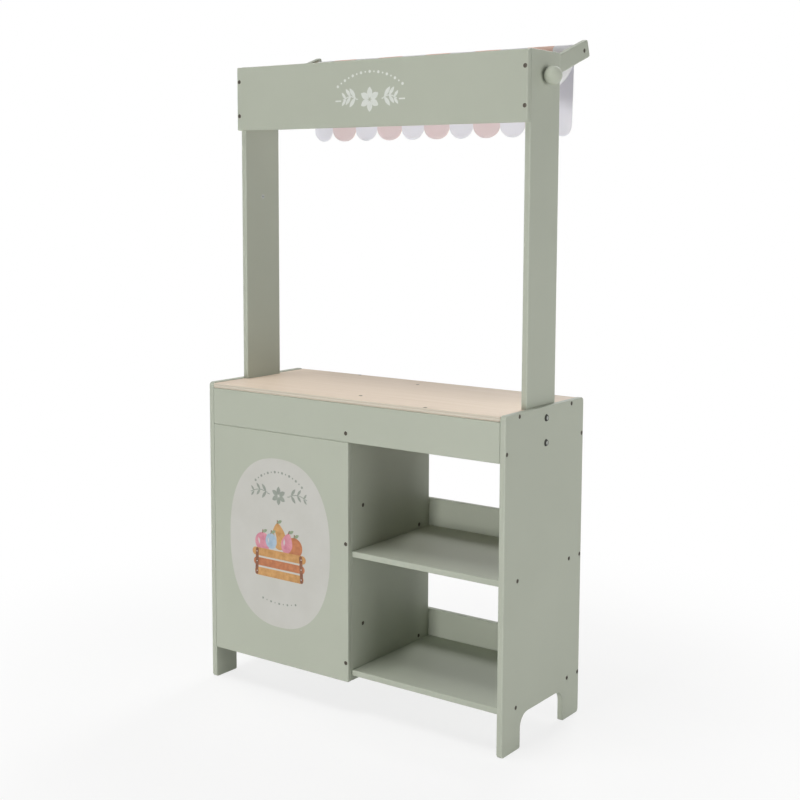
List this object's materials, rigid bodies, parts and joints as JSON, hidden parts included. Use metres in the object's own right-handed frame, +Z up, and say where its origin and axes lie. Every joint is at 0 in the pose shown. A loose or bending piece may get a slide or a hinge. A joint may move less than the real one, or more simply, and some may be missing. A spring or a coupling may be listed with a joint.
{
  "type": "toy market stall",
  "caption": "Free-standing wooden play stall: plywood counter, open and slanted display shelves, a header on posts and a tilting striped awning with a scalloped valance.",
  "frame": {"origin": "centre of the bounding box, on the floor", "axes": "+Z up; +Y towards the market side with the awning, so the cafe side with the oval sign faces -Y; +X to the right as seen from the cafe side"},
  "size_m": [0.6326, 0.2786, 1.0955],
  "materials": {
    "sage_paint": "matt sage-green paint on fibreboard",
    "birch_plywood": "clear matt varnish",
    "dark_steel": "dark plated",
    "zinc_steel": "zinc plated",
    "brass": "bare",
    "beech": "bare",
    "awning_cloth": "woven cotton, white and pink stripes",
    "hook_tape": "woven tape"
  },
  "bodies": {
    "stall": {"left_side_panel": "sage_paint", "right_side_panel": "sage_paint", "divider": "sage_paint", "front_panel": "sage_paint", "front_apron": "sage_paint", "rear_apron": "sage_paint", "countertop": "birch_plywood", "upper_shelf": "sage_paint", "lower_shelf": "sage_paint", "upper_display_shelf": "sage_paint", "lower_display_shelf": "sage_paint", "upper_rear_rail": "sage_paint", "lower_rear_rail": "sage_paint", "left_post": "sage_paint", "right_post": "sage_paint", "header_board": "sage_paint", "left_panel_screws": "dark_steel", "right_panel_screws": "dark_steel", "divider_screws": "dark_steel", "front_screws": "dark_steel", "rear_screws": "dark_steel", "countertop_screws": "dark_steel", "header_screws": "dark_steel", "post_bolts": "dark_steel", "post_nuts": "zinc_steel", "post_inserts": "zinc_steel", "knob_washers": "zinc_steel", "header_tape": "hook_tape", "canopy_cloth": "awning_cloth"},
    "awning": {"left_arm": "sage_paint", "right_arm": "sage_paint", "front_bar": "beech", "arm_screws": "dark_steel", "pivot_bolts": "zinc_steel", "arm_washers": "zinc_steel", "bar_sleeve": "awning_cloth"},
    "valance": {"valance_cloth": "awning_cloth"},
    "left_knob": {"left_knob": "sage_paint", "left_knob_insert": "brass"},
    "right_knob": {"right_knob": "sage_paint", "right_knob_insert": "brass"}
  },
  "joints": [
    {"name": "awning_tilt", "type": "hinge", "parent": "stall", "child": "awning", "pos_m": [0, -0.01932, 1.0285], "axis": [1, 0, 0], "range_deg": [-80, 0], "deforming": ["canopy_cloth"]},
    {"name": "valance_swing", "type": "hinge", "parent": "awning", "child": "valance", "pos_m": [0, 0.12067, 1.07807], "axis": [1, 0, 0], "range_deg": [-1, 81]},
    {"name": "left_knob_turn", "type": "hinge", "parent": "stall", "child": "left_knob", "pos_m": [-0.302, -0.01932, 1.0285], "axis": [1, 0, 0], "continuous": true},
    {"name": "right_knob_turn", "type": "hinge", "parent": "stall", "child": "right_knob", "pos_m": [0.302, -0.01932, 1.0285], "axis": [1, 0, 0], "continuous": true}
  ],
  "couplings": [
    {"joint": "valance_swing", "follows": "awning_tilt", "ratio": -1}
  ]
}
